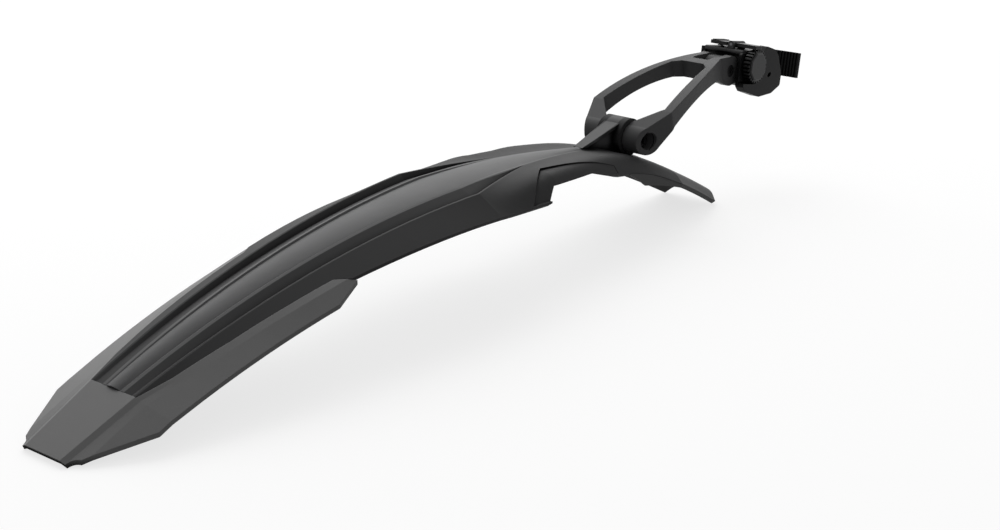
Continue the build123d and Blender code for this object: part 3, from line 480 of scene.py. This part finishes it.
class MUDGUARD_OT_flaps(bpy.types.Operator):
    """Finish the tail flap and the nose flap"""
    bl_idname = "mudguard.flaps"
    bl_label = "Flaps"

    def execute(self, context):
        finish = context.scene.mudguard_finish
        roughness = finish.plastic_roughness + FLAP_ROUGHER
        # The tail flap's painted crease shade also falls where other pieces come close
        tail = moulded_plastic("Tail plastic", finish.tail_colour, roughness, finish.plastic_gloss, finish,
                               own_only=False, edge=finish.blade_edge)
        dress("tail_flap", tail)
        nose = moulded_plastic("Nose plastic", finish.nose_colour, roughness, finish.smooth_gloss, finish,
                               edge=finish.blade_edge)
        dress("front_flap", nose)
        return {"FINISHED"}


class MUDGUARD_OT_arm(bpy.types.Operator):
    """Finish the looped arm and the clamp head"""
    bl_idname = "mudguard.arm"
    bl_label = "Arm and head"

    def execute(self, context):
        finish = context.scene.mudguard_finish
        plastic = moulded_plastic("Arm plastic", finish.arm_colour, finish.matte_roughness,
                                  finish.plastic_gloss, finish, edge=finish.arm_edge)
        dress("support_arm", plastic)
        dress("clamp_head", plastic)
        return {"FINISHED"}


class MUDGUARD_OT_fasteners(bpy.types.Operator):
    """Finish the pivot screws, the strap screw, the nuts and the washers"""
    bl_idname = "mudguard.fasteners"
    bl_label = "Fasteners"

    def execute(self, context):
        finish = context.scene.mudguard_finish
        black = turned_metal("Black steel", finish.black_steel_colour, BLACK_ROUGHNESS, ALONG_Y)
        for node in ("lower_pivot_bolt", "lower_pivot_nut", "upper_pivot_bolt", "upper_pivot_nut",
                     "strap_bolt", "strap_washer", "dial_washer"):
            dress(node, black, finish.small_edge, finish.smooth_angle)
        return {"FINISHED"}


class MUDGUARD_OT_clamp(bpy.types.Operator):
    """Finish the clamp's cover, strap and pad"""
    bl_idname = "mudguard.clamp"
    bl_label = "Clamp"

    def execute(self, context):
        finish = context.scene.mudguard_finish
        plastic = moulded_plastic("Clamp plastic", finish.clamp_colour, finish.plastic_roughness,
                                  finish.smooth_gloss, finish, edge=finish.clamp_edge)
        dress("cover_plate", plastic)
        strap = rubber("Strap rubber", finish.strap_colour, finish)
        dress("clamp_strap", strap, finish.small_edge, finish.smooth_angle)
        pad = rubber("Pad rubber", finish.pad_colour, finish)
        dress("saddle_pad", pad, finish.small_edge, finish.smooth_angle)
        return {"FINISHED"}


class MUDGUARD_OT_dial(bpy.types.Operator):
    """Finish the dial with its cap and insert, and the lock lever on its pin and spring"""
    bl_idname = "mudguard.dial"
    bl_label = "Dial and lever"

    def execute(self, context):
        finish = context.scene.mudguard_finish
        plastic = moulded_plastic("Dial plastic", finish.clamp_colour, finish.plastic_roughness,
                                  finish.plastic_gloss, finish, edge=finish.clamp_edge)
        dress("tension_dial", plastic)
        dress("lock_lever", plastic)
        cap = moulded_plastic("Cap plastic", finish.cap_colour, finish.plastic_roughness - CAP_SMOOTHER,
                              finish.plastic_gloss, finish)
        dress("dial_cap", cap, finish.small_edge, finish.smooth_angle)
        brass = turned_metal("Insert brass", finish.brass_colour, BRASS_ROUGHNESS, ALONG_Y)
        dress("dial_insert", brass, finish.small_edge, finish.smooth_angle)
        bright = turned_metal("Bright steel", finish.bright_steel_colour, BRIGHT_ROUGHNESS, ALONG_X)
        dress("lock_lever_pin", bright, finish.small_edge, finish.smooth_angle)
        spring = dress("lock_spring", bright)
        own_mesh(spring)
        return {"FINISHED"}


class MUDGUARD_OT_stage(bpy.types.Operator):
    """Set the pale floor, the soft light and the camera"""
    bl_idname = "mudguard.stage"
    bl_label = "Stage"

    def execute(self, context):
        scene = context.scene
        stage = scene.mudguard_stage
        lay_floor(scene, stage)
        light_dome(scene, stage)
        hang_key(scene, stage)
        place_camera(scene, stage)
        scene.view_settings.view_transform = "Standard"
        return {"FINISHED"}


OPERATORS = (MUDGUARD_OT_blade, MUDGUARD_OT_flaps, MUDGUARD_OT_arm, MUDGUARD_OT_fasteners,
             MUDGUARD_OT_clamp, MUDGUARD_OT_dial, MUDGUARD_OT_stage)


# Sidebar

class MUDGUARD_PT_panel(bpy.types.Panel):
    """List of the operators and their settings"""
    bl_idname = "MUDGUARD_PT_panel"
    bl_label = "Seatpost Mudguard"
    bl_space_type = "VIEW_3D"
    bl_region_type = "UI"
    bl_category = "Mudguard"

    def draw(self, context):
        for operator in OPERATORS:
            self.layout.operator(operator.bl_idname)
        for settings in (context.scene.mudguard_finish, context.scene.mudguard_stage):
            box = self.layout.box()
            for name in settings.__annotations__:
                box.prop(settings, name)


CLASSES = (MudguardFinish, MudguardStage, *OPERATORS, MUDGUARD_PT_panel)


def register():
    for kind in CLASSES:
        bpy.utils.register_class(kind)
    bpy.types.Scene.mudguard_finish = PointerProperty(type=MudguardFinish)
    bpy.types.Scene.mudguard_stage = PointerProperty(type=MudguardStage)


def unregister():
    del bpy.types.Scene.mudguard_stage
    del bpy.types.Scene.mudguard_finish
    for kind in reversed(CLASSES):
        bpy.utils.unregister_class(kind)


def main():
    register()
    bpy.ops.mudguard.blade()
    bpy.ops.mudguard.flaps()
    bpy.ops.mudguard.arm()
    bpy.ops.mudguard.fasteners()
    bpy.ops.mudguard.clamp()
    bpy.ops.mudguard.dial()
    bpy.ops.mudguard.stage()


if __name__ == "__main__":
    main()
